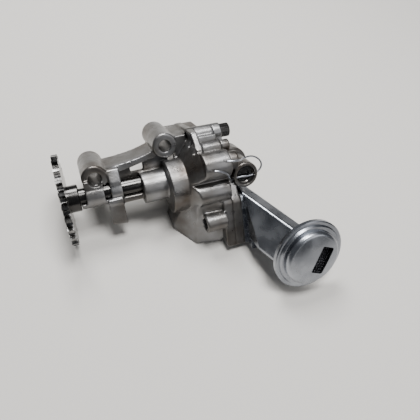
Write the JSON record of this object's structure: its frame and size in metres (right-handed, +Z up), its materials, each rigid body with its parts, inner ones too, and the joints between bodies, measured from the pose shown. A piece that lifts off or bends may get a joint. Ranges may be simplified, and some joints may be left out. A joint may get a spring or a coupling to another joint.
{
  "type": "engine oil pump",
  "caption": "Chain driven gear oil pump with two bolt bosses, relief valve, box pickup duct and round bell strainer",
  "frame": {"origin": "where the shaft's axis crosses the middle plane of the sprocket", "axes": "+X along the shaft from the sprocket to the pump, +Z up as the pump rests on a table, +Y to the engine side; the bolt holes run 28 degrees below +Y"},
  "size_m": [0.1742, 0.1459, 0.0663],
  "materials": {
    "cast_metal": "dark satin casting",
    "steel": "oiled machined steel",
    "dark_steel": "dark oiled steel",
    "bronze": "plain bearing bronze",
    "pressed_sheet": "pressed bare sheet steel",
    "wire_mesh": "fine dark wire mesh",
    "gasket": "matte gasket",
    "zinc_steel": "zinc plated steel"
  },
  "bodies": {
    "housing": {"pump_body": "cast_metal", "pump_cover": "cast_metal", "front_bush": "bronze", "rear_bush": "bronze", "cover_bush": "bronze", "idler_shaft": "steel", "relief_spring": "steel", "spring_cap": "dark_steel", "retaining_pin": "zinc_steel", "cover_screws": "zinc_steel", "top_screw": "dark_steel", "dowel_pins": "steel", "pickup_screws": "zinc_steel", "pickup_gasket": "gasket", "pickup_flange": "pressed_sheet", "pickup_duct": "pressed_sheet", "strainer_bell": "pressed_sheet", "strainer_back": "pressed_sheet", "strainer_mesh": "wire_mesh"},
    "drive": {"drive_shaft": "dark_steel", "sprocket": "steel", "sprocket_hub": "dark_steel", "drive_gear": "steel"},
    "idler": {"driven_gear": "steel"},
    "relief": {"relief_piston": "steel"}
  },
  "joints": [
    {"name": "shaft_spin", "type": "hinge", "parent": "housing", "child": "drive", "pos_m": [0.05, 0, 0], "axis": [1, 0, 0], "continuous": true},
    {"name": "idler_spin", "type": "hinge", "parent": "housing", "child": "idler", "pos_m": [0.103, -0.01899, -0.01468], "axis": [1, 0, 0], "continuous": true},
    {"name": "relief_slide", "type": "slide", "parent": "housing", "child": "relief", "axis": [0, -0.8829, 0.4695], "range_m": [0, 0.005], "stiffness_N_per_m": 6000, "deforming": ["relief_spring"]}
  ],
  "couplings": [
    {"joint": "idler_spin", "follows": "shaft_spin", "ratio": -1}
  ]
}
